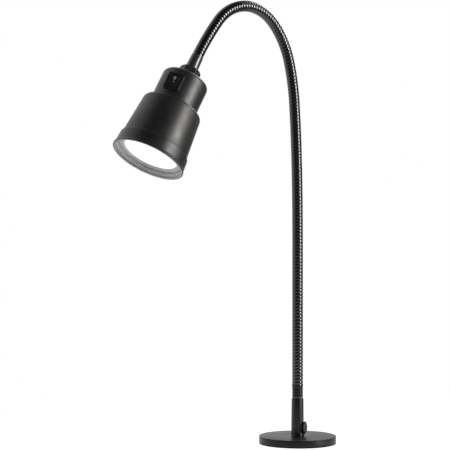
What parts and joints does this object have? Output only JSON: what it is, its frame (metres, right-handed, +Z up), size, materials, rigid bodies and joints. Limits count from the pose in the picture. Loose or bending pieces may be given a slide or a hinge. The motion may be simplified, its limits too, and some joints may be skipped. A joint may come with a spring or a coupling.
{
  "type": "heat lamp",
  "caption": "Free-standing heat lamp with a round base, a clamped post, a ribbed gooseneck and a black lamp head with a rocker switch.",
  "frame": {"origin": "centre of the base's underside, on the table", "axes": "+Z up; the arm lies in the XZ plane at rest and reaches towards -X; +Y is the rear, where the cord would leave the base"},
  "size_m": [0.3871, 0.1167, 0.654],
  "materials": {
    "black_paint": "satin black powder coat",
    "head_paint": "satin black powder coat on spun aluminium",
    "hose_steel": "black oxide with worn bright crests",
    "ferrule_black": "gloss black anodised",
    "nut_black": "semi-gloss black nylon",
    "switch_black": "moulded black plastic",
    "knob_black": "gloss black enamel",
    "zinc": "zinc plated",
    "plain_aluminium": "spun, natural",
    "brass": "machined",
    "rubber": "matt black rubber",
    "nylon": "matt nylon",
    "porcelain": "glazed porcelain",
    "lamp_glass": "mirrored inside, frosted grey outside",
    "lamp_face": "frosted glass, lit from behind",
    "wire": "insulated wire"
  },
  "bodies": {
    "base": {"base_plate": "black_paint", "base_pad": "rubber", "post_socket": "black_paint", "post_screws": "zinc", "plate_screw": "zinc", "cord_grommet": "rubber", "clamp_boss": "black_paint", "base_cable": "rubber"},
    "clamp_tip": {"thumbscrew_tip": "brass"},
    "clamp_knob": {"thumbscrew": "knob_black"},
    "arm_turn": {"swivel_washer": "nylon"},
    "arm": {"lower_ferrule": "hose_steel", "hose_link_01": "hose_steel", "cable_01": "rubber"},
    "hose_02": {"hose_link_02": "hose_steel", "cable_02": "rubber"},
    "hose_03": {"hose_link_03": "hose_steel", "cable_03": "rubber"},
    "hose_04": {"hose_link_04": "hose_steel", "cable_04": "rubber"},
    "hose_05": {"hose_link_05": "hose_steel", "cable_05": "rubber"},
    "hose_06": {"hose_link_06": "hose_steel", "cable_06": "rubber"},
    "hose_07": {"hose_link_07": "hose_steel", "cable_07": "rubber"},
    "hose_08": {"hose_link_08": "hose_steel", "cable_08": "rubber"},
    "hose_09": {"hose_link_09": "hose_steel", "cable_09": "rubber"},
    "hose_10": {"hose_link_10": "hose_steel", "cable_10": "rubber"},
    "hose_11": {"hose_link_11": "hose_steel", "cable_11": "rubber", "upper_ferrule": "ferrule_black", "head_nipple": "plain_aluminium", "hex_lock_nut": "nut_black", "seal_washer": "zinc", "inner_nut": "zinc"},
    "head": {"head_cap": "head_paint", "switch_bezel": "switch_black", "switch_body": "switch_black", "switch_terminals": "brass", "head_wires": "wire", "holder_bracket": "zinc", "bracket_screws": "zinc", "lampholder": "porcelain", "screw_shell": "brass", "centre_contact": "brass", "shade": "head_paint", "rim_band": "head_paint", "inner_ring": "plain_aluminium"},
    "rocker": {"switch_rocker": "switch_black"},
    "bulb_slide": {"bulb_tip": "nylon"},
    "bulb": {"bulb_glass": "lamp_glass", "bulb_lens": "lamp_face", "bulb_base": "plain_aluminium"}
  },
  "joints": [
    {"name": "clamp_travel", "type": "slide", "parent": "base", "child": "clamp_tip", "axis": [0.4695, -0.8829, 0], "range_m": [0, 0.0024]},
    {"name": "clamp_turn", "type": "hinge", "parent": "clamp_tip", "child": "clamp_knob", "pos_m": [0, 0, 0.0237], "axis": [0.4695, -0.8829, 0], "range_deg": [0, 1080]},
    {"name": "arm_swivel", "type": "hinge", "parent": "base", "child": "arm_turn", "pos_m": [0, 0, 0.0684], "axis": [0, 0, 1], "range_deg": [-170, 170]},
    {"name": "arm_lift", "type": "slide", "parent": "arm_turn", "child": "arm", "axis": [0, 0, 1], "range_m": [0, 0.02]},
    {"name": "neck_01_nod", "type": "hinge", "parent": "arm", "child": "hose_02", "pos_m": [0, 0, 0.15985], "axis": [0, 1, 0], "range_deg": [-15, 20]},
    {"name": "neck_02_sway", "type": "hinge", "parent": "hose_02", "child": "hose_03", "pos_m": [0, 0, 0.2317], "axis": [1, 0, 0], "range_deg": [-12, 12]},
    {"name": "neck_03_nod", "type": "hinge", "parent": "hose_03", "child": "hose_04", "pos_m": [0, 0, 0.30355], "axis": [0, 1, 0], "range_deg": [-15, 20]},
    {"name": "neck_04_sway", "type": "hinge", "parent": "hose_04", "child": "hose_05", "pos_m": [-0.00063, 0, 0.3754], "axis": [0.9998, 0, 0.0175], "range_deg": [-12, 12]},
    {"name": "neck_05_nod", "type": "hinge", "parent": "hose_05", "child": "hose_06", "pos_m": [-0.00282, 0, 0.44721], "axis": [0, 1, 0], "range_deg": [-15, 24]},
    {"name": "neck_06_sway", "type": "hinge", "parent": "hose_06", "child": "hose_07", "pos_m": [-0.00661, 0, 0.50909], "axis": [0.9969, 0, 0.0785], "range_deg": [-12, 12]},
    {"name": "neck_07_nod", "type": "hinge", "parent": "hose_07", "child": "hose_08", "pos_m": [-0.01736, 0, 0.57006], "axis": [0, 1, 0], "range_deg": [-12, 24]},
    {"name": "neck_08_sway", "type": "hinge", "parent": "hose_08", "child": "hose_09", "pos_m": [-0.04758, 0, 0.62348], "axis": [0.7254, 0, 0.6884], "range_deg": [-12, 12]},
    {"name": "neck_09_nod", "type": "hinge", "parent": "hose_09", "child": "hose_10", "pos_m": [-0.10337, 0, 0.64585], "axis": [0, 1, 0], "range_deg": [-12, 26]},
    {"name": "neck_10_sway", "type": "hinge", "parent": "hose_10", "child": "hose_11", "pos_m": [-0.15744, 0, 0.61919], "axis": [-0.7627, 0, 0.6468], "range_deg": [-15, 15]},
    {"name": "head_swivel", "type": "hinge", "parent": "hose_11", "child": "head", "pos_m": [-0.21568, 0, 0.53309], "axis": [-0.515, 0, -0.8572], "range_deg": [-170, 170]},
    {"name": "rocker_switch", "type": "hinge", "parent": "head", "child": "rocker", "pos_m": [-0.25111, -0.01649, 0.5244], "axis": [-0.4606, 0.8434, 0.2767], "range_deg": [0, 16]},
    {"name": "bulb_travel", "type": "slide", "parent": "head", "child": "bulb_slide", "axis": [-0.515, 0, -0.8572], "range_m": [0, 0.0163]},
    {"name": "bulb_turn", "type": "hinge", "parent": "bulb_slide", "child": "bulb", "pos_m": [-0.26965, 0, 0.44326], "axis": [-0.515, 0, -0.8572], "range_deg": [0, 1620]}
  ],
  "couplings": [
    {"joint": "clamp_travel", "follows": "clamp_turn", "m_per_rad": 0.00012732},
    {"joint": "bulb_travel", "follows": "bulb_turn", "m_per_rad": 0.00057614}
  ]
}
